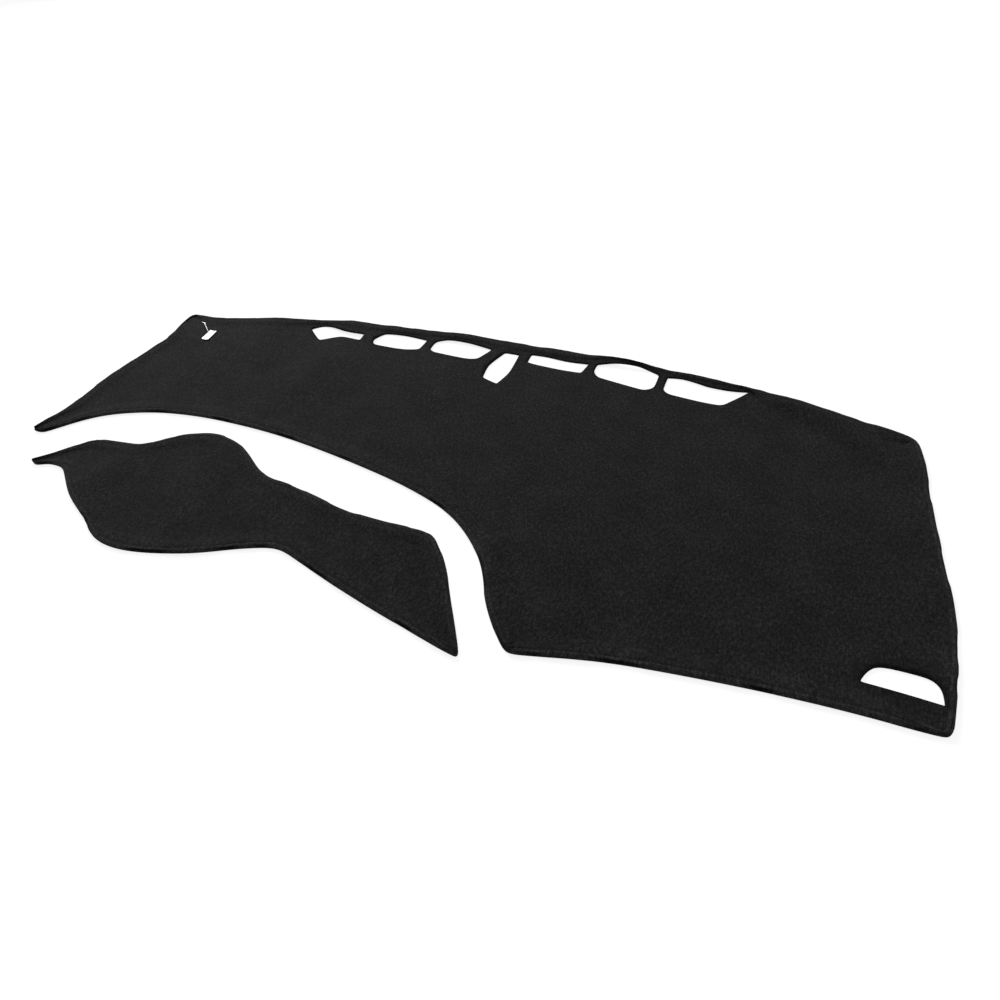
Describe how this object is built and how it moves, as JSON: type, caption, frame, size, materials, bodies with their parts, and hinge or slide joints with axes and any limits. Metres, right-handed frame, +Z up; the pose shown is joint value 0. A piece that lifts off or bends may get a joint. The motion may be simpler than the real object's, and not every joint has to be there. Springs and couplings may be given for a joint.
{
  "type": "dashboard cover mat",
  "caption": "Flat felt cover for a dashboard, with hemmed edges, windscreen vent openings and a separate sheet for the instrument hood.",
  "frame": {"origin": "middle of the two sheets' outline, on the floor that they lie on", "axes": "+X across the car towards the passenger, +Y towards the windscreen, +Z up"},
  "size_m": [1.4278, 0.6578, 0.0119],
  "materials": {
    "felt": "needle-punched felt, napped",
    "label": "smooth white card",
    "nylon": "translucent white nylon"
  },
  "bodies": {
    "root": {"main_mat": "felt", "hood_mat": "felt", "blank_label": "label", "tag_pin": "nylon"}
  },
  "joints": []
}
